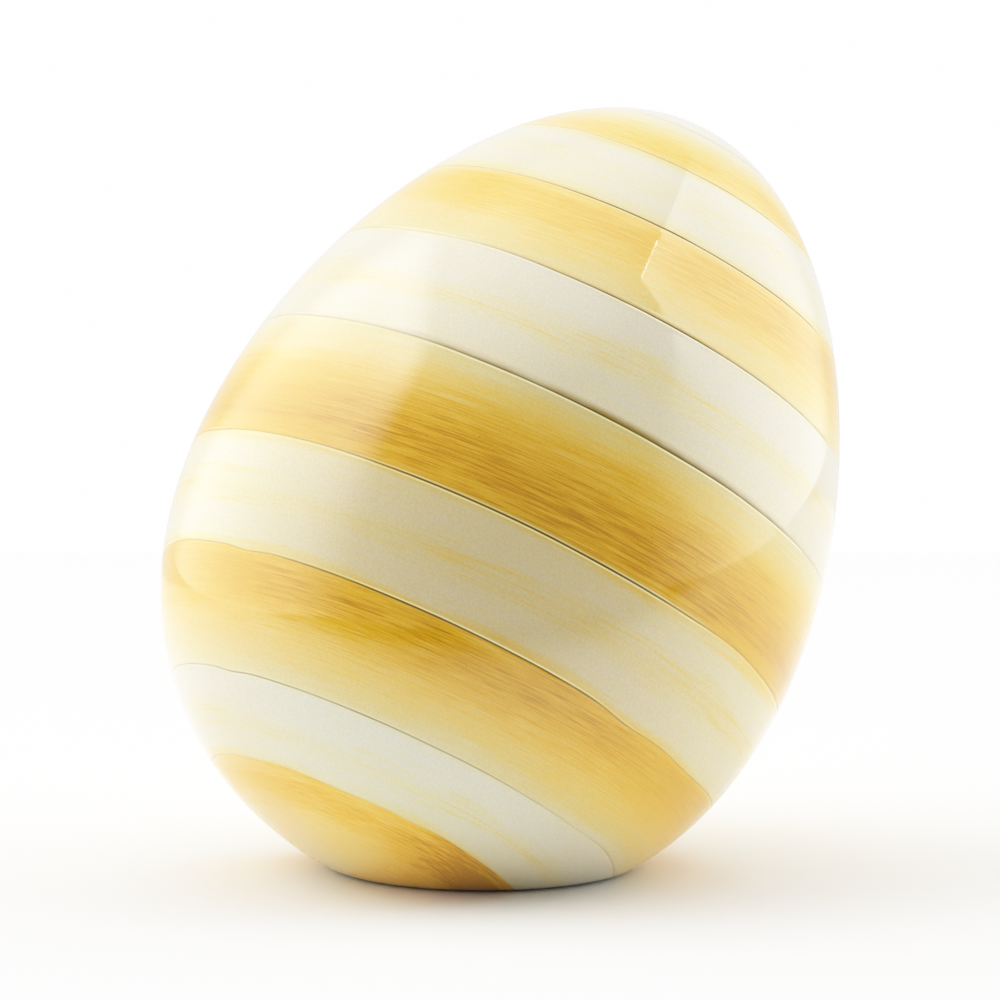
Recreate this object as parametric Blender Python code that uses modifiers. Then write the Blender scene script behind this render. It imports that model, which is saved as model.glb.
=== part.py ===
"""Striped decorative egg, hand painted, that leans on a small flat base.

A hollow cast egg is scribed with ring grooves square to its own axis. Between the grooves it
carries alternate coats of cream and yellow paint. A stopper closes the casting hole in the base,
and a felt pad is glued in a shallow recess over it. Nothing on the object moves.

Metres, +Z up. The origin is the centre of the felt pad's underside, where the egg rests.
"""

import math

import bmesh
import bpy
from mathutils import Vector

MM = 0.001

# Egg, along its own axis.
EGG_LENGTH = 168 * MM
MID_RADIUS = 0.3774 * EGG_LENGTH
TAPER = -0.3425  # below zero the pointed half is slimmer than the blunt half
FULLNESS = 0.0772  # fills out both ends a little
LEAN = math.radians(31.7)  # from the vertical
LEAN_HEADING = math.radians(37.6)  # the tip leans this way, from +X towards +Y
CENTRE_SHIFT = 0.0626 * EGG_LENGTH  # the egg's middle stands this far from the base's centre
CENTRE_HEIGHT = 0.4365 * EGG_LENGTH  # and this far above the base's rim

# Painted coats, from the tip down.
COATS = (
    ("cream_tip_cap", "cream_paint"),
    ("yellow_band_1", "yellow_paint"),
    ("cream_band_1", "cream_paint"),
    ("yellow_band_2", "yellow_paint"),
    ("cream_band_2", "cream_paint"),
    ("yellow_band_3", "yellow_paint"),
    ("cream_band_3", "cream_paint"),
    ("yellow_band_4", "yellow_paint"),
    ("cream_band_4", "cream_paint"),
    ("yellow_base_cap", "yellow_paint"),
)
# Scribed grooves between them, as fractions of the egg's length up from the blunt end.
GROOVES = (0.961, 0.8907, 0.7953, 0.6815, 0.5409, 0.3845, 0.2510, 0.1273, 0.0536)
GROOVE_WIDTH = 0.6 * MM
COAT_THICKNESS = 0.8 * MM
CLEARANCE = 0.3 * MM  # between pieces that touch on the real object
ANGLE_STEP = 1e-4  # for the outline's slope

# Cast shell.
WALL = 5.0 * MM
RIM_HEIGHT = 0.4 * MM  # the pad lifts the base's rim this far
FLOOR_TOP = 7.5 * MM  # inside the egg, over the base
HOLE_RADIUS = 9.0 * MM

# Felt pad in its recess, and the stopper above it.
PAD_RADIUS = 24.0 * MM
PAD_THICKNESS = 1.2 * MM
PAD_EDGE_ROUND = 0.3 * MM
RECESS_MARGIN = 0.5 * MM  # around the pad
STOPPER_FLANGE_RADIUS = 12.0 * MM
STOPPER_FLANGE_THICKNESS = 1.5 * MM
STOPPER_WALL = 1.6 * MM
STOPPER_DEPTH = 7.0 * MM  # from the flange's underside to the top of its skirt
STOPPER_LEAD_IN = 0.6 * MM
CUT_OVERRUN = 1.0 * MM  # how far the hole's cutter passes through the floor and the rim

# How finely the round pieces are divided.
EGG_STEPS = 48
ROUND_STEPS = 40
SEGMENT_LENGTH = 10 * MM
CAVITY_SEGMENTS = 14

# Paint, resin, plastic and felt: colour, roughness.
FINISHES = {
    "cream_paint": ((0.86, 0.83, 0.74), 0.12),
    "yellow_paint": ((0.84, 0.58, 0.13), 0.12),
    "umber_washed_resin": ((0.30, 0.19, 0.08), 0.45),
    "soft_plastic": ((0.80, 0.79, 0.75), 0.40),
    "felt": ((0.16, 0.28, 0.17), 0.95),
}


def clear_scene():
    for item in list(bpy.data.objects):
        bpy.data.objects.remove(item, do_unlink=True)


def make_collection(name):
    collection = bpy.data.collections.new(name)
    bpy.context.scene.collection.children.link(collection)
    return collection


def make_material(name):
    colour, roughness = FINISHES[name]
    material = bpy.data.materials.new(name)
    material.use_nodes = True
    shader = material.node_tree.nodes["Principled BSDF"]
    shader.inputs["Base Color"].default_value = (*colour, 1.0)
    shader.inputs["Roughness"].default_value = roughness
    shader.inputs["Metallic"].default_value = 0.0
    return material


# ---- the egg's outline -------------------------------------------------------------------


def angle_of(fraction):
    """The outline's angle, 0 at the tip and pi at the blunt end, at a fraction of the length."""
    return math.acos(2 * fraction - 1)


def outline(angle):
    """Radius and height of the painted surface, with the height measured from the egg's middle."""
    x = math.cos(angle)
    radius = MID_RADIUS * math.sin(angle) * math.sqrt(1 + TAPER * x + FULLNESS * x * x)
    return Vector((radius, 0.5 * EGG_LENGTH * x))


def below_surface(angle, depth):
    """The point that lies a depth under the painted surface, square to it."""
    along = outline(angle + ANGLE_STEP) - outline(angle - ANGLE_STEP)
    outward = Vector((-along.y, along.x)).normalized()
    point = outline(angle) - depth * outward
    if angle in (0.0, math.pi):
        point.x = 0.0
    return point


def arc_length(start, end, count=60):
    points = [outline(start + (end - start) * i / count) for i in range(count + 1)]
    return sum((b - a).length for a, b in zip(points, points[1:]))


def groove_edge(centre, side):
    """The angle of a groove's lower (side 1) or upper (side -1) edge."""
    along = outline(centre + ANGLE_STEP) - outline(centre - ANGLE_STEP)
    return centre + side * GROOVE_WIDTH * ANGLE_STEP / along.length


def divide(start, end):
    """Evenly spaced angles from start to end, about a segment's length apart."""
    segments = max(3, round(arc_length(start, end) / SEGMENT_LENGTH))
    return [start + (end - start) * i / segments for i in range(segments + 1)]


def coat_angles():
    """Each coat's angles from its top edge to its bottom edge, tip cap first."""
    centres = [angle_of(fraction) for fraction in GROOVES]
    tops = [0.0] + [groove_edge(centre, 1) for centre in centres]
    bottoms = [groove_edge(centre, -1) for centre in centres] + [math.pi]
    return [divide(top, bottom) for top, bottom in zip(tops, bottoms)]


def under(angles, depth):
    """The points that lie a depth under the painted surface at these angles."""
    return [below_surface(angle, depth) for angle in angles]


# ---- modelling helpers -------------------------------------------------------------------


def add_object(name, mesh, collection, parent=None):
    item = bpy.data.objects.new(name, mesh)
    collection.objects.link(item)
    item.parent = parent
    return item


def turned(name, points, closed, steps, collection, parent=None):
    """Turn a profile of (radius, height) points around Z."""
    mesh = bpy.data.meshes.new(name)
    edges = [(i, i + 1) for i in range(len(points) - 1)]
    if closed:
        edges.append((len(points) - 1, 0))
    mesh.from_pydata([(p[0], 0.0, p[1]) for p in points], edges, [])
    item = add_object(name, mesh, collection, parent)
    screw = item.modifiers.new("Turn", "SCREW")
    screw.axis = "Z"
    screw.angle = 2 * math.pi
    screw.steps = steps
    screw.render_steps = steps
    screw.use_smooth_shade = True
    screw.use_merge_vertices = True
    screw.merge_threshold = 0.00001
    return item


def cylinder_mesh(name, radius, low, high, steps):
    mesh = bpy.data.meshes.new(name)
    shape = bmesh.new()
    bmesh.ops.create_cone(
        shape, cap_ends=True, segments=steps, radius1=radius, radius2=radius, depth=high - low
    )
    bmesh.ops.translate(shape, verts=shape.verts, vec=(0, 0, (low + high) / 2))
    shape.to_mesh(mesh)
    shape.free()
    return mesh


def slab_mesh(name, top):
    """A block wider than the egg, whose top face is at the given height."""
    mesh = bpy.data.meshes.new(name)
    shape = bmesh.new()
    bmesh.ops.create_cube(shape, size=1.0)
    bmesh.ops.scale(shape, verts=shape.verts, vec=(2 * EGG_LENGTH, 2 * EGG_LENGTH, EGG_LENGTH))
    bmesh.ops.translate(shape, verts=shape.verts, vec=(0, 0, top - EGG_LENGTH / 2))
    shape.to_mesh(mesh)
    shape.free()
    return mesh


def as_cutter(item):
    item.hide_render = True
    item.display_type = "WIRE"
    return item


def cut(item, cutter):
    boolean = item.modifiers.new("Cut " + cutter.name, "BOOLEAN")
    boolean.operation = "DIFFERENCE"
    boolean.solver = "EXACT"
    boolean.object = cutter


# ---- cutters -----------------------------------------------------------------------------


def make_base_slab(cutters):
    return as_cutter(add_object("base_slab", slab_mesh("base_slab", RIM_HEIGHT), cutters))


def make_cavity(cutters, axis):
    """The hollow inside the shell, flat over the base."""
    depth = COAT_THICKNESS + CLEARANCE + WALL
    angles = [math.pi * i / CAVITY_SEGMENTS for i in range(CAVITY_SEGMENTS + 1)]
    points = under(angles, depth)
    cavity = as_cutter(turned("cavity", points, False, EGG_STEPS, cutters, axis))
    floor = as_cutter(add_object("cavity_floor", slab_mesh("cavity_floor", FLOOR_TOP), cutters))
    cut(cavity, floor)
    return cavity


def make_base_hole(cutters):
    """One stepped hole, turned around Z: pad recess, flange seat and casting hole."""
    recess = PAD_RADIUS + RECESS_MARGIN
    ceiling = PAD_THICKNESS + CLEARANCE
    seat = STOPPER_FLANGE_RADIUS + CLEARANCE
    seat_top = ceiling + STOPPER_FLANGE_THICKNESS + CLEARANCE
    points = [
        (0.0, FLOOR_TOP + CUT_OVERRUN),
        (HOLE_RADIUS, FLOOR_TOP + CUT_OVERRUN),
        (HOLE_RADIUS, seat_top),
        (seat, seat_top),
        (seat, ceiling),
        (recess, ceiling),
        (recess, -CUT_OVERRUN),
        (0.0, -CUT_OVERRUN),
    ]
    return as_cutter(turned("base_hole", points, False, ROUND_STEPS, cutters))


# ---- pieces ------------------------------------------------------------------------------


def make_shell(parts, axis, slab, cavity, hole):
    """The cast egg. Its outside has the coats' own divisions, so the gap under them is even."""
    angles = [angle for coat in coat_angles() for angle in coat]
    points = under(angles, COAT_THICKNESS + CLEARANCE)
    shell = turned("cast_shell", points, False, EGG_STEPS, parts, axis)
    for cutter in (slab, cavity, hole):
        cut(shell, cutter)
    return shell


def make_coats(parts, axis, slab):
    """One coat between each groove and the next, with a cap at each end."""
    coats = []
    for (name, paint), angles in zip(COATS, coat_angles()):
        outer = under(angles, 0.0)
        inner = under(reversed(angles), COAT_THICKNESS)
        is_tip = angles[0] == 0.0
        is_blunt_end = angles[-1] == math.pi
        points = inner + outer if is_blunt_end else outer + inner
        coat = turned(name, points, not (is_tip or is_blunt_end), EGG_STEPS, parts, axis)
        if reaches_base(angles[-1]):
            cut(coat, slab)
        coats.append((coat, paint))
    return coats


def reaches_base(angle):
    """Whether a coat that ends at this angle dips under the base's rim on its low side."""
    radius, height = outline(angle)
    lowest = CENTRE_HEIGHT + height * math.cos(LEAN) - radius * math.sin(LEAN)
    return lowest < 0.0 or angle == math.pi


def make_stopper(parts):
    """A push-in cup: a flange under the shell's floor and a thin skirt through the hole."""
    bottom = PAD_THICKNESS + CLEARANCE
    flange_top = bottom + STOPPER_FLANGE_THICKNESS
    top = bottom + STOPPER_DEPTH
    skirt = HOLE_RADIUS - CLEARANCE
    bore = skirt - STOPPER_WALL
    points = [
        (0.0, flange_top),
        (bore, flange_top),
        (bore, top),
        (skirt - STOPPER_LEAD_IN, top),
        (skirt, top - STOPPER_LEAD_IN),
        (skirt, flange_top),
        (STOPPER_FLANGE_RADIUS, flange_top),
        (STOPPER_FLANGE_RADIUS, bottom),
        (0.0, bottom),
    ]
    return turned("stopper_plug", points, False, ROUND_STEPS, parts)


def make_pad(parts):
    mesh = cylinder_mesh("felt_pad", PAD_RADIUS, 0.0, PAD_THICKNESS, ROUND_STEPS)
    pad = add_object("felt_pad", mesh, parts)
    bevel = pad.modifiers.new("Soft edge", "BEVEL")
    bevel.width = PAD_EDGE_ROUND
    bevel.segments = 2
    bevel.limit_method = "ANGLE"
    return pad


def make_axis(parts):
    """An empty at the egg's middle, with its Z along the egg's own axis."""
    axis = add_object("egg_axis", None, parts)
    heading = Vector((math.cos(LEAN_HEADING), math.sin(LEAN_HEADING), 0.0))
    direction = heading * math.sin(LEAN) + Vector((0, 0, math.cos(LEAN)))
    axis.rotation_mode = "QUATERNION"
    axis.rotation_quaternion = direction.to_track_quat("Z", "Y")
    axis.location = heading * CENTRE_SHIFT + Vector((0, 0, RIM_HEIGHT + CENTRE_HEIGHT))
    return axis


def main():
    clear_scene()
    parts = make_collection("decorative_egg")
    cutters = make_collection("cutters")
    materials = {name: make_material(name) for name in FINISHES}

    axis = make_axis(parts)
    slab = make_base_slab(cutters)
    cavity = make_cavity(cutters, axis)
    hole = make_base_hole(cutters)

    shell = make_shell(parts, axis, slab, cavity, hole)
    stopper = make_stopper(parts)
    pad = make_pad(parts)
    pieces = [(shell, "umber_washed_resin"), (stopper, "soft_plastic"), (pad, "felt")]
    for piece, finish in pieces + make_coats(parts, axis, slab):
        piece.data.materials.append(materials[finish])
        piece.data.shade_smooth()


main()
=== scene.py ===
"""Looks of the leaning, hand-painted striped egg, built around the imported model.

The egg is a surface of revolution about its own leaning axis. A place on it is given by a turn
about that axis, 0 towards the viewer, and by the distance along the surface from the tip.
"""

import math

import bmesh
import bpy
import numpy as np
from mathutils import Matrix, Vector


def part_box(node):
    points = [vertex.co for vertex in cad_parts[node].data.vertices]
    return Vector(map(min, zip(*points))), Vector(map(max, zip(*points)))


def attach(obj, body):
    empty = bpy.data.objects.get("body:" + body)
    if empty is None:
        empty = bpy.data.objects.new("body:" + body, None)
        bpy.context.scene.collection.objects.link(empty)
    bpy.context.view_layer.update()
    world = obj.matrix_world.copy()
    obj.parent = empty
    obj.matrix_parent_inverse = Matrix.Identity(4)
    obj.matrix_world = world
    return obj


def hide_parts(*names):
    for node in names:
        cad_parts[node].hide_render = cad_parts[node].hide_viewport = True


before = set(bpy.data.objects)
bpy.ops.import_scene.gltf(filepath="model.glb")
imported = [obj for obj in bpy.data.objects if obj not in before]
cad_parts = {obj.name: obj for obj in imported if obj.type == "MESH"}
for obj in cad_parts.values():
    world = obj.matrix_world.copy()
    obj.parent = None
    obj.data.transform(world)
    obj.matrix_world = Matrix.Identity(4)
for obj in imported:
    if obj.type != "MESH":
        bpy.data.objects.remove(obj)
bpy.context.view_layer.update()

MM = 0.001

# The egg, as in the CAD model.
EGG_LENGTH = 168 * MM
MID_RADIUS = 0.3774 * EGG_LENGTH
TAPER = -0.3425
FULLNESS = 0.0772
LEAN = math.radians(31.7)
LEAN_HEADING = math.radians(37.6)
RIM_HEIGHT = 0.4 * MM
CENTRE_SHIFT = 0.0626 * EGG_LENGTH
CENTRE_HEIGHT = 0.4365 * EGG_LENGTH
COAT_THICKNESS = 0.8 * MM

# Camera, as the viewer stands.
CAMERA_PLACE = Vector((0.0037, -1.1596, 0.2091))
CAMERA_TILT = math.radians(6.66)
CAMERA_LENS = 211.1

# Scribed grooves, from the tip down: how far up the egg, as a fraction of its length.
GROOVES = (0.961, 0.8907, 0.7953, 0.6815, 0.5409, 0.3845, 0.2510, 0.1273, 0.0536)
COATS = (
    "cream_tip_cap",
    "yellow_band_1",
    "cream_band_1",
    "yellow_band_2",
    "cream_band_2",
    "yellow_band_3",
    "cream_band_3",
    "yellow_band_4",
    "cream_band_4",
    "yellow_base_cap",
)

# How the coats are divided, and the small shapes at their edges.
COLUMNS = 512
# Rows close together by the groove, mm from the coat's edge.
EDGE_ROWS = (0.02, 0.05, 0.09, 0.14, 0.20, 0.27, 0.35, 0.45, 0.58, 0.80, 1.2, 1.8)
ROW_SPACING = 1.1 * MM
FEWEST_ROWS = 6
INNER_ROWS = 48
GROOVE_DEPTH = 0.06 * MM
GROOVE_REACH = 0.24 * MM
LIP_HEIGHT = 0.025 * MM
LIP_PLACE = 0.55 * MM
LIP_REACH = 0.2 * MM
BASE_ROUND = 0.35 * MM
BASE_LIFT = 0.1 * MM  # the round would take this long to meet the base's plane
BASE_LEVEL = RIM_HEIGHT - 0.12 * MM  # the paint runs just under the casting's edge
BASE_OVERLAP = 0.6 * MM  # and this far in over it
BASE_OVERLAP_REACH = 2.5 * MM
TOUCHING = 1e-7
SMALL_ANGLE = 1e-4  # for slopes of the outline
FINE_STEPS = 6001
SHARP_ANGLE = math.radians(40)

# Where each groove strays from its ring: turn and reach in degrees, and mm towards the tip.
STRAYS = (
    (),
    ((70, 20, 0.65), (15, 20, 0.15)),
    ((65, 15, 0.25),),
    ((-27, 12, 0.42), (55, 25, -0.17)),
    ((-65, 10, 0.36), (-30, 14, 0.34), (20, 12, -0.13), (60, 25, -0.15)),
    ((-40, 18, 0.18), (10, 20, -0.12), (50, 12, 0.55)),
    ((-65, 12, 0.20), (-47, 4, -0.45), (38, 7, -0.90), (58, 14, -1.00)),
    ((-50, 5, -0.42), (20, 15, 0.20), (40, 12, 0.30), (62, 14, 0.95)),
    ((-35, 12, 0.20), (-15, 8, -0.14), (25, 12, 0.40)),
)
TREMOR = ((2, 0.03), (3, 0.04), (5, 0.03), (9, 0.02), (17, 0.012))  # waves round the egg, mm
GROOVE_SEED = 40

# Paint. Glaze colours by how thickly the yellow glaze lies over the cream.
GLAZE_COLOURS = (
    (0.00, (0.76, 0.71, 0.57)),
    (0.15, (0.79, 0.70, 0.41)),
    (0.30, (0.82, 0.655, 0.26)),
    (0.45, (0.88, 0.605, 0.13)),
    (0.60, (0.88, 0.525, 0.045)),
    (0.75, (0.81, 0.45, 0.014)),
    (0.90, (0.71, 0.36, 0.005)),
    (1.00, (0.56, 0.26, 0.004)),
)
UMBER = (0.17, 0.10, 0.004)
THIN_UMBER = (0.40, 0.26, 0.04)
GLINT_CREAM = (1.0, 0.90, 0.42)
# How thick the glaze lies across each coat, from its top edge (0) to its bottom edge (1).
GLAZE = (
    ((0.0, 0.04), (0.5, 0.0), (0.9, 0.0), (1.0, 0.10)),
    ((0.0, 0.05), (0.12, 0.12), (0.3, 0.25), (0.5, 0.38), (0.7, 0.53), (0.88, 0.55), (1.0, 0.42)),
    ((0.0, 0.32), (0.1, 0.08), (0.2, 0.0), (0.45, 0.10), (0.7, 0.04), (0.85, 0.10), (1.0, 0.34)),
    ((0.0, 0.45), (0.12, 0.63), (0.25, 0.65), (0.45, 0.58), (0.7, 0.42), (1.0, 0.26)),
    ((0.0, 0.10), (0.1, 0.02), (0.35, 0.03), (0.5, 0.15), (0.6, 0.15), (0.7, 0.06), (1.0, 0.10)),
    ((0.0, 0.16), (0.12, 0.34), (0.25, 0.46), (0.4, 0.64), (0.6, 0.80), (0.8, 0.90), (1.0, 0.72)),
    ((0.0, 0.40), (0.1, 0.16), (0.3, 0.10), (0.5, 0.22), (0.7, 0.10), (0.88, 0.12), (1.0, 0.40)),
    ((0.0, 0.68), (0.12, 0.82), (0.3, 0.78), (0.45, 0.62), (0.6, 0.50), (0.8, 0.38), (1.0, 0.12)),
    ((0.0, 0.10), (0.1, 0.02), (0.35, 0.02), (0.55, 0.12), (0.75, 0.05), (0.9, 0.10), (1.0, 0.30)),
    ((0.0, 0.52), (0.12, 0.70), (0.25, 0.60), (0.4, 0.44), (0.7, 0.36), (1.0, 0.32)),
)
# Each coat's own tint over those colours, strongest towards the viewer: partly the paint's colour and
# partly painted light and shade for how the light falls on the front, lightening most coats there and
# darkening cream_band_3.
SIDE_TINT = (1.03, 1.02, 1.0)
TINT_REACH = 30  # degrees to each side
LEFT_SHEEN_TURNS = (-0.85, -0.2)  # sines of the turns between which the thick yellow is paled to the left, a painted sheen of the left light
LEFT_SHEEN_BLUE = 0.6  # what that adds to the blue of thick glaze, as a part of it
FRONT_LIGHT_AND_SHADE_TINTS = (
    (1.05, 1.05, 1.05),
    (1.07, 1.05, 1.0),
    (1.06, 1.04, 0.99),
    (1.10, 1.06, 1.00),
    (1.10, 1.08, 1.04),
    (1.00, 0.97, 0.83),
    (0.97, 0.90, 0.78),
    (1.02, 0.98, 0.84),
    (1.05, 1.10, 1.11),
    (1.09, 1.07, 1.02),
)

# Brush marks: noise units per radian round the egg, mm per unit across it, octaves, roughness.
HAIR = (7.0, 0.17, 2.0, 0.6)
WISP = (4.2, 0.36, 2.0, 0.6)
STROKE = (2.0, 1.3, 3.0, 0.55)
SWEEP = (1.4, 6.0, 2.0, 0.5)
STROKE_SKEW = 1.4  # mm that a stroke climbs between the egg's far sides
SEED_STEP = 17.3  # noise units that keep one set of marks clear of the next
STROKE_SEED, SWEEP_SEED, WISP_SEED = 20, 40, 60
# How the marks stand out: noise from and to, and the shift in thickness at each end.
HAIR_SHOWS = (0.38, 0.62, -0.35, 0.35)
WISP_SHOWS = (0.38, 0.64, -0.3, 0.3)
STROKE_SHOWS = 0.5
STREAKS_THICK = 0.42  # how strongly they show in the thickest glaze, beyond
STREAKS_THIN = 0.08  # what they show everywhere
STREAKS_TURN, STREAKS_REACH = 5, 32  # where round the egg they are crispest, degrees
STREAKS_AWAY, STREAKS_FRONT = 0.25, 1.05
RIGHT_GLAZE_AND_SHADE = (1.0, 1.08, 1.0, 1.12, 1.0, 0.94, 1.0, 0.88, 1.0, 1.6)  # by coat, besides that; the base cap's 1.6 is painted shade, darkening its right end by the base with thicker glaze
GLAZE_DRIFT = 0.07  # the glaze thickens by this part to the right and thins to the left
WISP_THICKNESS = 0.17  # glaze in the stray wisps on the cream
WISP_EDGES = (0.44, 0.70)
WISP_TOP = (0.2, 0.45)  # they start and end at these parts of the coat's width
WISP_BOTTOM = (0.6, 0.85)
WISP_PATCHES = (-0.1, 0.15)
STROKE_WANDER = 0.22  # how far strokes and sweeps carry the glaze, as parts of the coat's width
SWEEP_WANDER = 0.20
EGG_GIRTH = 60.0  # mm, a fair radius for even grain
GRAIN = 2.4  # per mm
MOTTLE = (0.3, 0.7, 0.96, 1.04)  # grain from and to, shades the paint by these
SPECKLE = 1.5
SPECK_EDGES = (0.74, 0.82)
SPECK_SHOWS = (0.45, 0.8, 0.1, 0.6)  # glaze thickness from and to, and the umber in a speck
SHEEN_GLAZE = (0.2, 0.5)  # glaze thick enough to take the painted sheen on the left
PATCHINESS = (3.0, 3.0, 0.6)  # of the umber wash: scale, octaves, roughness
PATCH_SHOWS = (0.3, 0.7, 0.6, 1.2)
BRISTLE_DEPTH = 0.03 * MM

# Grooves, from the tip down: how strongly the umber in them shows, where round the egg it is strongest
# (painted shade, strongest towards the viewer), how much smears over the paint above it, and how strong
# a painted glint of pale cream runs above and below it.
GROOVE_INK = (0.2, 0.55, 1.2, 0.85, 0.9, 1.0, 0.9, 0.5, 0.05)
INK_SHADE_TURN = (14, 14, 14, 14, 12, 5, 0, -12, 0)
INK_SHADE_REACH = (26, 26, 27, 26, 25, 22, 22, 32, 22)
INK_LEFT = 0.15  # what shows of it away from there, where the painted shade of the front has faded
SMEAR_ABOVE = (0.0, 0.0, 0.05, 0.15, 0.8, 0.2, 0.0, 0.0, 0.0)
GLINT_ABOVE = (0.0, 0.2, 0.3, 0.0, 0.0, 0.9, 1.0, 0.3, 0.0)
GLINT_BELOW = (0.0, 0.0, 0.4, 0.6, 1.0, 0.9, 0.1, 0.2, 0.0)
INK_EDGES = (0.08, 0.26)  # mm from the groove
SMEAR_EDGES = (0.1, 1.9)
GLINT_EDGES = (0.18, 0.28, 0.40, 0.62)

# Paint under its lacquer.
PAINT_ROUGHNESS = 0.5
PAINT_SPECULAR = 0.1
COAT_IOR = 1.65
COAT_ROUGHNESS = 0.05

# Other materials: shades by noise.
RESIN_SHADES = ((0.3, (0.05, 0.028, 0.010)), (0.7, (0.12, 0.07, 0.028)))
PLASTIC_SHADES = ((0.3, (0.74, 0.73, 0.69)), (0.7, (0.82, 0.81, 0.77)))
FELT_SHADES = ((0.32, (0.05, 0.11, 0.055)), (0.5, (0.11, 0.21, 0.12)), (0.68, (0.22, 0.36, 0.22)))

# Felt pad.
PAD_COLUMNS = 360
PAD_RINGS = 60
PAD_EDGE = 0.5 * MM
PAD_EDGE_ROWS = 8
PAD_MARGIN = 0.1 * MM
PAD_FUZZ = 0.06 * MM
PAD_CALM = 0.3  # part of the radius within which the fuzz dies away to the middle
PAD_SEED = 7
PAD_RAGGED = ((3, 0.04), (11, 0.03), (37, 0.03), (83, 0.03))

# Floor: a plain pale sheet. The egg sees it fade into the unlit front of the room between these.
FLOOR_LOW = (-1.2, -0.6)
FLOOR_HIGH = (1.2, 0.5)
FLOOR_SHADE = 0.86
FLOOR_DIMS = (-0.36, -0.10)

# Soft boxes, a fixed distance to each side, standing on the floor: radiance at the front high,
# front low, back high and back low corners; where the front edge comes up, low and high; where
# the back edge and the top edge fade.
BOX_DISTANCE = 0.8
LEFT_BOX = {
    "top": 1.95,
    "radiance": (5.6, 1.9, 2.6, 1.1),
    "heights": (0.7, 1.3),
    "front_low": (-0.85, -0.22),
    "front_high": (-0.70, -0.30),
    "back_fade": (0.6, 1.2),
    "top_fade": (1.35, 1.95),
}
RIGHT_BOX = {
    "top": 1.5,
    "radiance": (3.6, 2.1, 0.6, 1.4),
    "heights": (0.4, 0.9),
    "front_low": (-0.65, 0.1),
    "front_high": (-0.28, -0.26),
    "back_fade": (0.6, 1.2),
    "top_fade": (1.48, 1.5),
}
# A thin bright strip over the right box: its radiance, and its front, back, low and high edges.
RIGHT_RIM = 15.0
RIM_PLACE = (-0.26, 0.02, 1.505, 1.52)

# The room as the egg sees it, and the backdrop as the camera does.
SKY_LOW = 0.25
SKY_TOP = 1.5
SKY_BACK = 0.9
TOP_EDGES = (0.75, 0.98)
BACK_EDGES = (-0.6, 0.6)
BACKDROP = 2.0

CURVE_KNEE = 0.3
CURVE_WHITE = 1.7
CURVE_POINTS = 8


# ---- the egg's surface -------------------------------------------------------------------

HEADING = Vector((math.cos(LEAN_HEADING), math.sin(LEAN_HEADING), 0.0))
AXIS = HEADING * math.sin(LEAN) + Vector((0, 0, math.cos(LEAN)))
CENTRE = HEADING * CENTRE_SHIFT + Vector((0, 0, RIM_HEIGHT + CENTRE_HEIGHT))
TO_VIEWER = Vector((0, -math.cos(CAMERA_TILT), math.sin(CAMERA_TILT)))
FRONT = (TO_VIEWER - AXIS * TO_VIEWER.dot(AXIS)).normalized()
SIDE = AXIS.cross(FRONT)


def outline(angle):
    """Radius and height of the painted surface at an outline angle, 0 at the tip."""
    x = np.cos(angle)
    radius = MID_RADIUS * np.sin(angle) * np.sqrt(1 + TAPER * x + FULLNESS * x * x)
    return radius, 0.5 * EGG_LENGTH * x


FINE_ANGLES = np.linspace(0, math.pi, FINE_STEPS)
FINE_RADII, FINE_HEIGHTS = outline(FINE_ANGLES)
FINE_ARCS = np.concatenate(
    ([0.0], np.cumsum(np.hypot(np.diff(FINE_RADII), np.diff(FINE_HEIGHTS))))
)
WHOLE_ARC = FINE_ARCS[-1]


def groove_arc(fraction):
    """Distance from the tip to a groove, along the surface."""
    return np.interp(math.acos(2 * fraction - 1), FINE_ANGLES, FINE_ARCS)


def place(arc, turn, depth):
    """Points on the egg: arc and turn say where, and depth how far under the surface."""
    angle = np.interp(arc, FINE_ARCS, FINE_ANGLES)
    radius, height = outline(angle)
    r0, h0 = outline(angle - SMALL_ANGLE)
    r1, h1 = outline(angle + SMALL_ANGLE)
    length = np.hypot(r1 - r0, h1 - h0)
    out_r = (h0 - h1) / length
    out_h = (r1 - r0) / length
    radius = np.maximum(radius - depth * out_r, 0.0)
    height = height - depth * out_h
    points = np.array(CENTRE) + height[..., None] * np.array(AXIS)
    around = np.cos(turn)[..., None] * np.array(FRONT) + np.sin(turn)[..., None] * np.array(SIDE)
    return points + radius[..., None] * around


def soften_base(points):
    """Turns the egg's outside over into its flat base with a small round."""
    height = (points[..., 2] - BASE_LEVEL) / BASE_ROUND
    points[..., 2] = BASE_LEVEL + BASE_ROUND * np.logaddexp(0.0, height)
    return points


# ---- meshes ------------------------------------------------------------------------------


def ring_mesh(name, points, close, places):
    """A mesh from rows of points that run round the egg; places are vectors kept at each point."""
    rows, columns = points.shape[:2]
    index = np.arange(rows * columns).reshape(rows, columns)
    upper = index if close else index[:-1]
    lower = np.roll(index, -1, axis=0)[: len(upper)]
    quads = np.stack([upper, lower, np.roll(lower, -1, axis=1), np.roll(upper, -1, axis=1)], axis=-1)
    mesh = bpy.data.meshes.new(name)
    mesh.from_pydata(points.reshape(-1, 3).tolist(), [], quads.reshape(-1, 4).tolist())
    for place_name, vectors in places.items():
        layer = mesh.attributes.new(place_name, "FLOAT_VECTOR", "POINT")
        layer.data.foreach_set("vector", vectors.astype(np.float32).ravel())
    return mesh


def cut_base(work):
    """Cuts everything under the base's plane away and closes the cut."""
    parts = work.verts[:] + work.edges[:] + work.faces[:]
    cut = bmesh.ops.bisect_plane(
        work,
        geom=parts,
        dist=TOUCHING,
        plane_co=(0, 0, BASE_LEVEL + BASE_LIFT),
        plane_no=(0, 0, -1),
        clear_outer=True,
    )
    edges = [item for item in cut["geom_cut"] if isinstance(item, bmesh.types.BMEdge)]
    bmesh.ops.holes_fill(work, edges=edges, sides=0)


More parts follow.
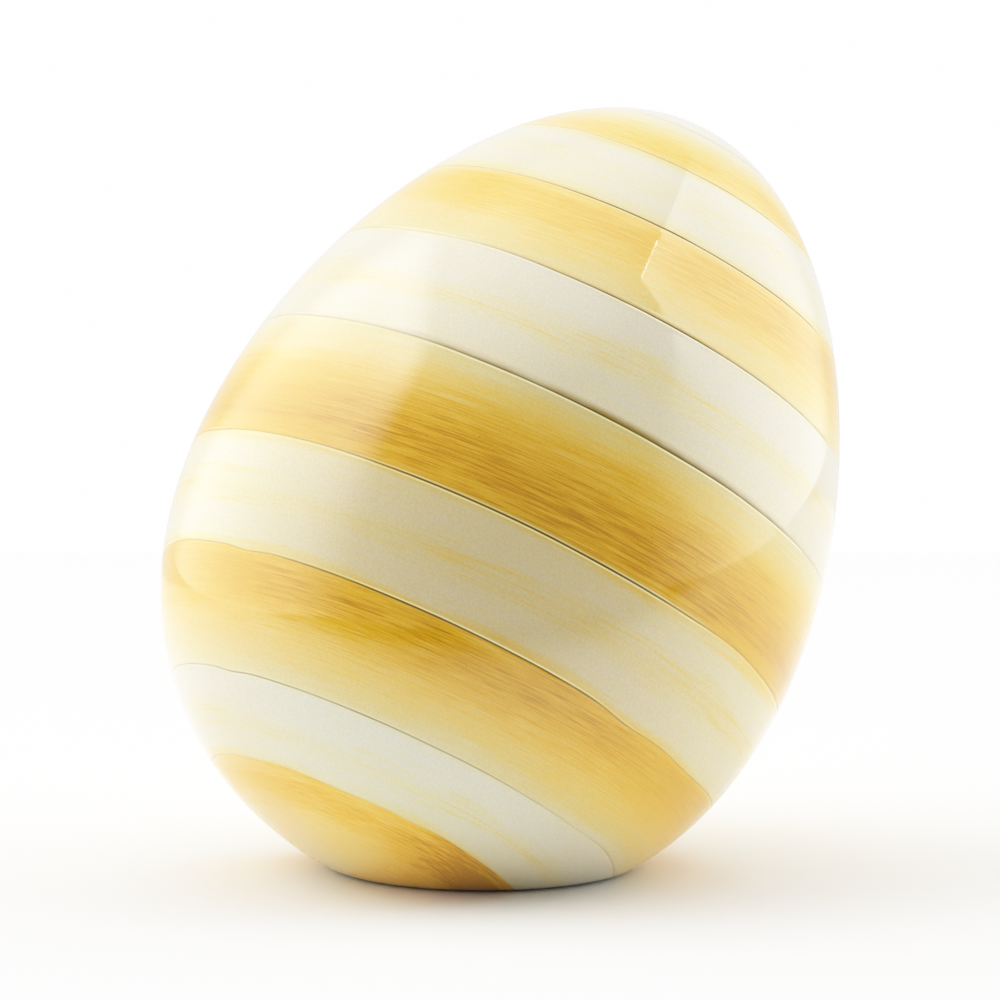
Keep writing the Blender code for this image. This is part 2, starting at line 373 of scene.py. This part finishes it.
def finish_mesh(mesh, at_base):
    work = bmesh.new()
    work.from_mesh(mesh)
    bmesh.ops.remove_doubles(work, verts=work.verts, dist=TOUCHING)
    bmesh.ops.dissolve_degenerate(work, edges=work.edges, dist=TOUCHING)
    if at_base:
        cut_base(work)
    bmesh.ops.recalc_face_normals(work, faces=work.faces)
    work.to_mesh(mesh)
    work.free()
    mesh.shade_smooth()
    mesh.set_sharp_from_angle(angle=SHARP_ANGLE)


def add_piece(name, mesh, replaced, slot):
    piece = bpy.data.objects.new(name, mesh)
    bpy.context.scene.collection.objects.link(piece)
    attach(piece, "root")
    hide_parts(replaced)
    return piece


# ---- painted coats -----------------------------------------------------------------------


def stray(index, turn):
    """How far a hand-scribed groove strays down the surface from its ring."""
    rng = np.random.default_rng(GROOVE_SEED + index)
    down = np.zeros_like(turn)
    for waves, size in TREMOR:
        down += size * np.sin(waves * turn + rng.uniform(0, 2 * math.pi))
    for centre, reach, size in STRAYS[index]:
        away = np.degrees(turn) - centre
        away = (away + 180) % 360 - 180
        down -= size * np.exp(-((away / reach) ** 2))
    return down * MM


def shoulder_depth(distance):
    """Depth of the surface at a distance from the middle of a groove, with a slight raised lip."""
    dip = GROOVE_DEPTH * np.exp(-((distance / GROOVE_REACH) ** 1.5))
    lip = LIP_HEIGHT * np.exp(-(((distance - LIP_PLACE) / LIP_REACH) ** 2))
    return dip - lip


def coat_rows(top, bottom, has_top, has_bottom):
    """Arcs and depths of one coat's rows, down its outside and back up its inside."""
    edges = np.array(EDGE_ROWS) * MM
    start = top + (edges[-1] if has_top else 0.0)
    end = bottom - (edges[-1] if has_bottom else 0.0)
    count = max(FEWEST_ROWS, round((end - start).mean() / ROW_SPACING))
    arcs = []
    if has_top:
        arcs += [top + edge for edge in edges[:-1]]
    arcs += [start + (end - start) * i / count for i in range(count + 1)]
    if has_bottom:
        arcs += [bottom - edge for edge in edges[-2::-1]]
    arcs = np.array(arcs)
    depths = np.zeros_like(arcs)
    if has_top:
        depths += shoulder_depth(arcs - top)
    if has_bottom:
        depths += shoulder_depth(bottom - arcs)
    parts = np.arange(INNER_ROWS + 1)[:, None] / INNER_ROWS
    back = arcs[-1] + (arcs[0] - arcs[-1]) * parts
    return np.concatenate([arcs, back]), np.concatenate([depths, np.full_like(back, COAT_THICKNESS)])


def make_coat(index):
    turn = np.arange(COLUMNS) * 2 * math.pi / COLUMNS
    has_top = index > 0
    has_bottom = index < len(COATS) - 1
    top = groove_arc(GROOVES[index - 1]) + stray(index - 1, turn) if has_top else np.zeros(COLUMNS)
    if has_bottom:
        bottom = groove_arc(GROOVES[index]) + stray(index, turn)
    else:
        bottom = np.full(COLUMNS, WHOLE_ARC)
    arcs, depths = coat_rows(top, bottom, has_top, has_bottom)
    turns = np.broadcast_to(turn, arcs.shape)
    points = place(arcs, turns, depths)
    at_base = points[..., 2].min() < RIM_HEIGHT
    if at_base:
        near = np.clip(1 - (points[..., 2] - RIM_HEIGHT) / BASE_OVERLAP_REACH, 0.0, 1.0)
        inside = depths >= COAT_THICKNESS
        points = soften_base(place(arcs, turns, depths + BASE_OVERLAP * near * inside))
    around = np.stack([np.cos(turns), np.sin(turns), arcs / MM], axis=-1)
    across = np.stack([(arcs - top) / MM, (bottom - arcs) / MM, (arcs - top) / (bottom - top)], axis=-1)
    name = COATS[index]
    mesh = ring_mesh(name, points, has_top, {"around": around, "across": across})
    finish_mesh(mesh, at_base)
    return add_piece("painted_" + name, mesh, name, name.split("_")[0] + "_paint")


# ---- materials ---------------------------------------------------------------------------


class Nodes:
    """Short names for the shader nodes that the materials below are made of."""

    def __init__(self, tree):
        self.tree = tree

    def feed(self, socket, value):
        if isinstance(value, bpy.types.NodeSocket):
            self.tree.links.new(value, socket)
        else:
            socket.default_value = value

    def math(self, operation, first, second=0.0, clamp=False):
        node = self.tree.nodes.new("ShaderNodeMath")
        node.operation = operation
        node.use_clamp = clamp
        self.feed(node.inputs[0], first)
        self.feed(node.inputs[1], second)
        return node.outputs[0]

    def attribute(self, name):
        node = self.tree.nodes.new("ShaderNodeAttribute")
        node.attribute_name = name
        return self.split(node.outputs["Vector"])

    def split(self, vector):
        node = self.tree.nodes.new("ShaderNodeSeparateXYZ")
        self.feed(node.inputs[0], vector)
        return node.outputs[:]

    def join(self, x, y, z):
        node = self.tree.nodes.new("ShaderNodeCombineXYZ")
        for socket, value in zip(node.inputs, (x, y, z)):
            self.feed(socket, value)
        return node.outputs[0]

    def noise(self, vector, scale, detail=2.0, roughness=0.5):
        node = self.tree.nodes.new("ShaderNodeTexNoise")
        self.feed(node.inputs["Vector"], vector)
        node.inputs["Scale"].default_value = scale
        node.inputs["Detail"].default_value = detail
        node.inputs["Roughness"].default_value = roughness
        return node.outputs["Fac"]

    def span(self, value, low, high, to_low=0.0, to_high=1.0, smooth=True):
        """Value taken from low..high to to_low..to_high, and held at the ends."""
        node = self.tree.nodes.new("ShaderNodeMapRange")
        node.interpolation_type = "SMOOTHSTEP" if smooth else "LINEAR"
        self.feed(node.inputs["Value"], value)
        names = ("From Min", "From Max", "To Min", "To Max")
        for name, end in zip(names, (low, high, to_low, to_high)):
            self.feed(node.inputs[name], end)
        return node.outputs[0]

    def ramp(self, value, stops):
        node = self.tree.nodes.new("ShaderNodeValToRGB")
        elements = node.color_ramp.elements
        while len(elements) < len(stops):
            elements.new(0.5)
        for element, (position, shade) in zip(elements, stops):
            element.position = position
            colour = shade if isinstance(shade, tuple) else (shade, shade, shade)
            element.color = (*colour, 1.0)
        self.feed(node.inputs["Fac"], value)
        return node.outputs["Color"]

    def mix(self, amount, first, second, blend="MIX"):
        node = self.tree.nodes.new("ShaderNodeMix")
        node.data_type = "RGBA"
        node.blend_type = blend
        self.feed(node.inputs["Factor"], amount)
        for socket, value in ((node.inputs[6], first), (node.inputs[7], second)):
            self.feed(socket, (*value, 1.0) if isinstance(value, tuple) else value)
        return node.outputs[2]

    def bump(self, height, distance, strength=1.0):
        node = self.tree.nodes.new("ShaderNodeBump")
        node.inputs["Strength"].default_value = strength
        node.inputs["Distance"].default_value = distance
        self.feed(node.inputs["Height"], height)
        return node.outputs[0]


def new_material(name):
    material = bpy.data.materials.new(name)
    material.use_nodes = True
    n = Nodes(material.node_tree)
    n.material = material
    n.shader = n.tree.nodes["Principled BSDF"]
    return n


def paint(index):
    """Yellow glaze brushed round the egg over cream, umber rubbed in the grooves, clear lacquer."""
    n = new_material("paint_" + COATS[index])
    cosine, sine, arc = n.attribute("around")
    from_top, from_bottom, across = n.attribute("across")

    # Brush strokes run nearly square to the axis: long round the egg, fine across it.
    skewed = n.math("ADD", arc, n.math("MULTIPLY", sine, STROKE_SKEW))
    hair = brush_marks(n, cosine, sine, skewed, HAIR, index)
    stroke = n.math("SUBTRACT", brush_marks(n, cosine, sine, skewed, STROKE, index + STROKE_SEED), 0.5)
    sweep = n.math("SUBTRACT", brush_marks(n, cosine, sine, skewed, SWEEP, index + SWEEP_SEED), 0.5)
    wisp = brush_marks(n, cosine, sine, skewed, WISP, index + WISP_SEED)
    streaks = n.math("ADD", n.span(hair, *HAIR_SHOWS), n.span(wisp, *WISP_SHOWS))
    streaks = n.math("ADD", streaks, n.math("MULTIPLY", stroke, STROKE_SHOWS))
    even = n.join(n.math("MULTIPLY", cosine, EGG_GIRTH), n.math("MULTIPLY", sine, EGG_GIRTH), arc)
    grain = n.noise(even, GRAIN, 1.0)
    speckle = n.noise(even, SPECKLE, 1.0)

    # Glaze thickness across the coat, ragged by the strokes.
    where = n.math("ADD", across, n.math("MULTIPLY", stroke, STROKE_WANDER))
    where = n.math("ADD", where, n.math("MULTIPLY", sweep, SWEEP_WANDER))
    thick = n.split(n.ramp(where, GLAZE[index]))[0]
    drift = n.math("ADD", n.math("MULTIPLY", sine, GLAZE_DRIFT), 1.0)
    thick = n.math("MULTIPLY", thick, drift)
    # Thicker glaze to the right by coat; on yellow_base_cap this is painted shade at its right end by
    # the base.
    thick = n.math("MULTIPLY", thick, n.span(sine, 0.0, 0.8, 1.0, RIGHT_GLAZE_AND_SHADE[index]))
    if index % 2 == 0:
        wisps = n.span(n.math("ADD", wisp, stroke), *WISP_EDGES)
        within = n.math("MULTIPLY", n.span(across, *WISP_TOP), n.span(across, *WISP_BOTTOM, 1.0, 0.0))
        wisps = n.math("MULTIPLY", wisps, n.math("MULTIPLY", within, n.span(sweep, *WISP_PATCHES)))
        thick = n.math("ADD", thick, n.math("MULTIPLY", wisps, WISP_THICKNESS))
    gain = n.math("MULTIPLY", n.math("POWER", thick, 2.0), STREAKS_THICK)
    gain = n.math("ADD", gain, STREAKS_THIN)
    front = turned_to(n, cosine, sine, STREAKS_TURN, STREAKS_REACH)
    gain = n.math("MULTIPLY", gain, n.span(front, 0.0, 1.0, STREAKS_AWAY, STREAKS_FRONT))
    thick = n.math("ADD", thick, n.math("MULTIPLY", streaks, gain), clamp=True)

    colour = n.ramp(thick, GLAZE_COLOURS)
    # Painted light and shade: each coat's tint, strongest where the egg is turned to the viewer.
    front_tint_and_shade = n.mix(turned_to(n, cosine, sine, 0, TINT_REACH), SIDE_TINT, FRONT_LIGHT_AND_SHADE_TINTS[index])
    colour = n.mix(1.0, colour, front_tint_and_shade, "MULTIPLY")
    # Painted sheen: blue is added to thick yellow glaze towards the left, where the left light's
    # reflection falls.
    if index % 2:
        left_sheen = n.span(sine, *LEFT_SHEEN_TURNS, LEFT_SHEEN_BLUE, 0.0)
        left_sheen = n.math("ADD", n.math("MULTIPLY", left_sheen, n.span(thick, *SHEEN_GLAZE)), 1.0)
        colour = n.mix(1.0, colour, n.join(1.0, 1.0, left_sheen), "MULTIPLY")
    mottle = n.span(grain, *MOTTLE)
    colour = n.mix(1.0, colour, n.join(mottle, mottle, mottle), "MULTIPLY")
    specks = n.math("MULTIPLY", n.span(speckle, *SPECK_EDGES), n.span(thick, *SPECK_SHOWS))
    colour = n.mix(specks, colour, UMBER)

    # Umber in the grooves, smeared up from some of them; beside it a painted glint, a pale cream line.
    patchy = n.noise(n.join(cosine, sine, float(index)), *PATCHINESS)
    for distance, groove, smear, glint in (
        (from_top, index - 1, None, GLINT_BELOW),
        (from_bottom, index, SMEAR_ABOVE, GLINT_ABOVE),
    ):
        if groove not in range(len(GROOVES)):
            continue
        # Umber line, smear and glint are strongest where the egg is turned to the viewer and fade to
        # the sides: painted shade and painted highlight over the real umber.
        lit = n.math("ADD", turned_to(n, cosine, sine, INK_SHADE_TURN[groove], INK_SHADE_REACH[groove]), INK_LEFT)
        lit = n.math("MULTIPLY", lit, n.span(patchy, *PATCH_SHOWS))
        rise = n.span(distance, GLINT_EDGES[0], GLINT_EDGES[1])
        fall = n.span(distance, GLINT_EDGES[2], GLINT_EDGES[3], 1.0, 0.0)
        glint_line = n.math("MULTIPLY", n.math("MULTIPLY", rise, fall), lit)
        colour = n.mix(n.math("MULTIPLY", glint_line, glint[groove], clamp=True), colour, GLINT_CREAM)
        if smear:
            brown = n.span(distance, *SMEAR_EDGES, smear[groove], 0.0)
            colour = n.mix(n.math("MULTIPLY", brown, lit, clamp=True), colour, THIN_UMBER)
        ink = n.span(distance, *INK_EDGES, GROOVE_INK[groove], 0.0)
        colour = n.mix(n.math("MULTIPLY", ink, lit, clamp=True), colour, UMBER)

    shader = n.shader
    n.feed(shader.inputs["Base Color"], colour)
    shader.inputs["Roughness"].default_value = PAINT_ROUGHNESS
    shader.inputs["Specular IOR Level"].default_value = PAINT_SPECULAR
    shader.inputs["Coat Weight"].default_value = 1.0
    shader.inputs["Coat Roughness"].default_value = COAT_ROUGHNESS
    shader.inputs["Coat IOR"].default_value = COAT_IOR
    n.feed(shader.inputs["Normal"], n.bump(hair, BRISTLE_DEPTH, 0.5))
    return n.material


def brush_marks(n, cosine, sine, arc, marks, seed):
    """Noise drawn out round the egg, for one size of brush mark."""
    length, width, octaves, roughness = marks
    place = n.join(
        n.math("MULTIPLY", cosine, length),
        n.math("MULTIPLY", sine, length),
        n.math("ADD", n.math("DIVIDE", arc, width), SEED_STEP * seed),
    )
    return n.noise(place, 1.0, octaves, roughness)


def turned_to(n, cosine, sine, centre, reach):
    """1 where the egg is turned to an angle, falling off evenly on both sides; degrees."""
    middle = math.radians(centre)
    toward = n.math(
        "ADD",
        n.math("MULTIPLY", cosine, math.cos(middle)),
        n.math("MULTIPLY", sine, math.sin(middle)),
    )
    return n.span(toward, math.cos(math.radians(2 * reach)), 1.0)


def resin():
    """Cast resin under the paint, brown where the umber wash has soaked in."""
    n = new_material("umber_washed_resin")
    place = n.tree.nodes.new("ShaderNodeTexCoord").outputs["Object"]
    cloud = n.noise(place, 90.0, 4.0, 0.6)
    grain = n.noise(place, 900.0, 3.0, 0.7)
    colour = n.ramp(cloud, RESIN_SHADES)
    n.feed(n.shader.inputs["Base Color"], colour)
    n.feed(n.shader.inputs["Roughness"], n.span(grain, 0.3, 0.7, 0.4, 0.65))
    n.feed(n.shader.inputs["Normal"], n.bump(grain, 0.0001, 0.6))
    return n.material


def soft_plastic():
    n = new_material("soft_plastic")
    place = n.tree.nodes.new("ShaderNodeTexCoord").outputs["Object"]
    grain = n.noise(place, 1400.0, 2.0, 0.6)
    n.feed(n.shader.inputs["Base Color"], n.ramp(grain, PLASTIC_SHADES))
    n.shader.inputs["Roughness"].default_value = 0.42
    n.feed(n.shader.inputs["Normal"], n.bump(grain, 0.00004, 0.5))
    return n.material


def felt():
    n = new_material("felt")
    place = n.tree.nodes.new("ShaderNodeTexCoord").outputs["Object"]
    fibre = n.noise(place, 1600.0, 5.0, 0.7)
    patch = n.noise(place, 160.0, 3.0, 0.6)
    mixed = n.math("ADD", n.math("MULTIPLY", fibre, 0.7), n.math("MULTIPLY", patch, 0.3))
    n.feed(n.shader.inputs["Base Color"], n.ramp(mixed, FELT_SHADES))
    n.shader.inputs["Roughness"].default_value = 0.95
    n.shader.inputs["Specular IOR Level"].default_value = 0.1
    n.feed(n.shader.inputs["Normal"], n.bump(fibre, 0.0003, 0.9))
    return n.material


# ---- felt pad ----------------------------------------------------------------------------


def make_pad():
    """The felt disc: a soft, slightly ragged edge and a fibrous, uneven face."""
    low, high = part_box("felt_pad")
    radius = (high[0] - low[0]) / 2
    thickness = high[2] - low[2]
    rng = np.random.default_rng(PAD_SEED)
    turn = np.arange(PAD_COLUMNS) * 2 * math.pi / PAD_COLUMNS
    profile = []
    for i in range(PAD_RINGS):
        profile.append((i / PAD_RINGS * (1 - PAD_EDGE / radius), 0.0))
    for i in range(PAD_EDGE_ROWS + 1):
        angle = math.pi * i / PAD_EDGE_ROWS
        bulge = PAD_EDGE / radius * math.sin(angle)
        profile.append((1 - PAD_EDGE / radius + bulge, 0.5 - 0.5 * math.cos(angle)))
    for i in reversed(range(PAD_RINGS)):
        profile.append((i / PAD_RINGS * (1 - PAD_EDGE / radius), 1.0))
    profile = np.array(profile)
    ragged = sum(
        size * np.sin(waves * turn + rng.uniform(0, 2 * math.pi)) for waves, size in PAD_RAGGED
    )
    spread = profile[:, :1] * (radius - PAD_MARGIN) + (profile[:, :1] ** 8) * ragged[None, :] * MM
    fuzz = rng.uniform(0.0, PAD_FUZZ, spread.shape) * np.minimum(profile[:, :1] / PAD_CALM, 1.0)
    height = np.broadcast_to(profile[:, 1:] * thickness, spread.shape).copy()
    height += np.where(profile[:, 1:] < 0.5, fuzz, -fuzz)
    points = np.stack([spread * np.cos(turn), spread * np.sin(turn), height + low[2]], axis=-1)
    mesh = ring_mesh("felt_pad_soft", points, False, {})
    finish_mesh(mesh, False)
    piece = add_piece("felt_pad_soft", mesh, "felt_pad", "felt")
    mesh.materials.append(felt())
    return piece


# ---- stage -------------------------------------------------------------------------------


def add_lamp(name, side, front, back, low, high):
    """An upright rectangular lamp to one side (-1 left, 1 right) that shines at the egg."""
    light = bpy.data.lights.new(name, "AREA")
    light.shape = "RECTANGLE"
    light.size = high - low
    light.size_y = back - front
    light.energy = math.pi * light.size * light.size_y
    lamp = bpy.data.objects.new(name, light)
    lamp.location = (side * BOX_DISTANCE, (front + back) / 2, (low + high) / 2)
    lamp.rotation_euler = (0, side * math.pi / 2, 0)
    lamp.visible_camera = False
    bpy.context.scene.collection.objects.link(lamp)
    return light


def soft_box(name, side, box):
    """A studio soft box that stands on the floor and fades at its edges."""
    front = min(box["front_low"][0], box["front_high"][0])
    back = box["back_fade"][1]
    top = box["top"]
    light = add_lamp(name, side, front, back, 0.0, top)
    light.use_nodes = True
    n = Nodes(light.node_tree)
    x, y, z = n.split(n.tree.nodes.new("ShaderNodeNewGeometry").outputs["Position"])
    front_high, front_low, back_high, back_low = box["radiance"]
    at_front = n.span(z, 0.0, top, front_low, front_high, smooth=False)
    at_back = n.span(z, 0.0, top, back_low, back_high, smooth=False)
    radiance = n.span(y, front, back, at_front, at_back, smooth=False)
    dark_until = n.span(z, *box["heights"], box["front_low"][0], box["front_high"][0])
    bright_from = n.span(z, *box["heights"], box["front_low"][1], box["front_high"][1])
    for fade in (
        n.span(y, dark_until, bright_from),
        n.span(y, *box["back_fade"], 1.0, 0.0),
        n.span(z, *box["top_fade"], 1.0, 0.0),
    ):
        radiance = n.math("MULTIPLY", radiance, fade)
    n.feed(n.tree.nodes["Emission"].inputs["Strength"], radiance)


def make_lights():
    soft_box("left_box", -1, LEFT_BOX)
    soft_box("right_box", 1, RIGHT_BOX)
    add_lamp("right_rim", 1, *RIM_PLACE).energy *= RIGHT_RIM


def make_floor():
    """A pale matt sheet, plain to the camera; to the egg its colour dims towards the front, a painted
    shade for the unlit front of the room.
    """
    (left, front), (right, back) = FLOOR_LOW, FLOOR_HIGH
    mesh = bpy.data.meshes.new("floor")
    corners = [(left, front, 0), (right, front, 0), (right, back, 0), (left, back, 0)]
    mesh.from_pydata(corners, [], [(0, 1, 2, 3)])
    floor = bpy.data.objects.new("floor", mesh)
    bpy.context.scene.collection.objects.link(floor)
    n = new_material("floor")
    x, y, z = n.split(n.tree.nodes.new("ShaderNodeTexCoord").outputs["Object"])
    seen = n.tree.nodes.new("ShaderNodeLightPath").outputs["Is Camera Ray"]
    # Painted shade: to all but camera rays the sheet darkens towards the front.
    lit = n.math("MULTIPLY", n.math("MAXIMUM", n.span(y, *FLOOR_DIMS), seen), FLOOR_SHADE)
    n.feed(n.shader.inputs["Base Color"], n.join(lit, lit, lit))
    n.shader.inputs["Roughness"].default_value = 1.0
    n.shader.inputs["Specular IOR Level"].default_value = 0.0
    floor.data.materials.append(n.material)
    return floor


def make_world():
    """White to the camera; to the egg a dim room, lighter overhead and behind."""
    world = bpy.data.worlds.new("studio")
    bpy.context.scene.world = world
    world.use_nodes = True
    n = Nodes(world.node_tree)
    background = n.tree.nodes["Background"]
    x, y, z = n.split(n.tree.nodes.new("ShaderNodeTexCoord").outputs["Generated"])
    overhead = n.span(z, *TOP_EDGES, 0.0, SKY_TOP)
    behind = n.span(y, *BACK_EDGES, 0.0, SKY_BACK)
    strength = n.math("ADD", n.math("ADD", overhead, behind), SKY_LOW)
    n.feed(background.inputs["Strength"], strength)
    background.inputs["Color"].default_value = (1, 1, 1, 1)

    white = n.tree.nodes.new("ShaderNodeBackground")
    white.inputs["Strength"].default_value = BACKDROP
    seen = n.tree.nodes.new("ShaderNodeLightPath").outputs["Is Camera Ray"]
    choose = n.tree.nodes.new("ShaderNodeMixShader")
    for socket, value in zip(choose.inputs, (seen, background.outputs[0], white.outputs[0])):
        n.feed(socket, value)
    n.feed(n.tree.nodes["World Output"].inputs["Surface"], choose.outputs[0])


def make_camera():
    camera = bpy.data.cameras.new("camera")
    camera.lens = CAMERA_LENS
    camera.sensor_width = 36
    eye = bpy.data.objects.new("camera", camera)
    eye.location = CAMERA_PLACE
    eye.rotation_euler = (math.pi / 2 - CAMERA_TILT, 0, 0)
    bpy.context.scene.collection.objects.link(eye)
    bpy.context.scene.camera = eye


def set_tone_curve():
    """A camera's soft shoulder: even up to the knee, then easing into white."""
    view = bpy.context.scene.view_settings
    view.view_transform = "Standard"
    view.use_curve_mapping = True
    curves = view.curve_mapping
    curves.white_level = (CURVE_WHITE, CURVE_WHITE, CURVE_WHITE)
    points = curves.curves[3].points
    points[0].location = (0.0, 0.0)
    points[1].location = (1.0, 1.0)
    reach = CURVE_WHITE - CURVE_KNEE
    for i in range(CURVE_POINTS):
        part = i / CURVE_POINTS
        scene_value = CURVE_KNEE + reach * part
        shown = 1 - (1 - CURVE_KNEE) * (1 - part) ** 2
        points.new(scene_value / CURVE_WHITE, shown)
    curves.update()


# ---- all together ------------------------------------------------------------------------

for index in range(len(COATS)):
    coat = make_coat(index)
    coat.data.materials.append(paint(index))
make_pad()
for node, material in (("cast_shell", resin()), ("stopper_plug", soft_plastic())):
    mesh = bpy.data.objects[node].data
    for i in range(len(mesh.materials)):
        mesh.materials[i] = material
make_floor()
make_world()
make_lights()
make_camera()
set_tone_curve()
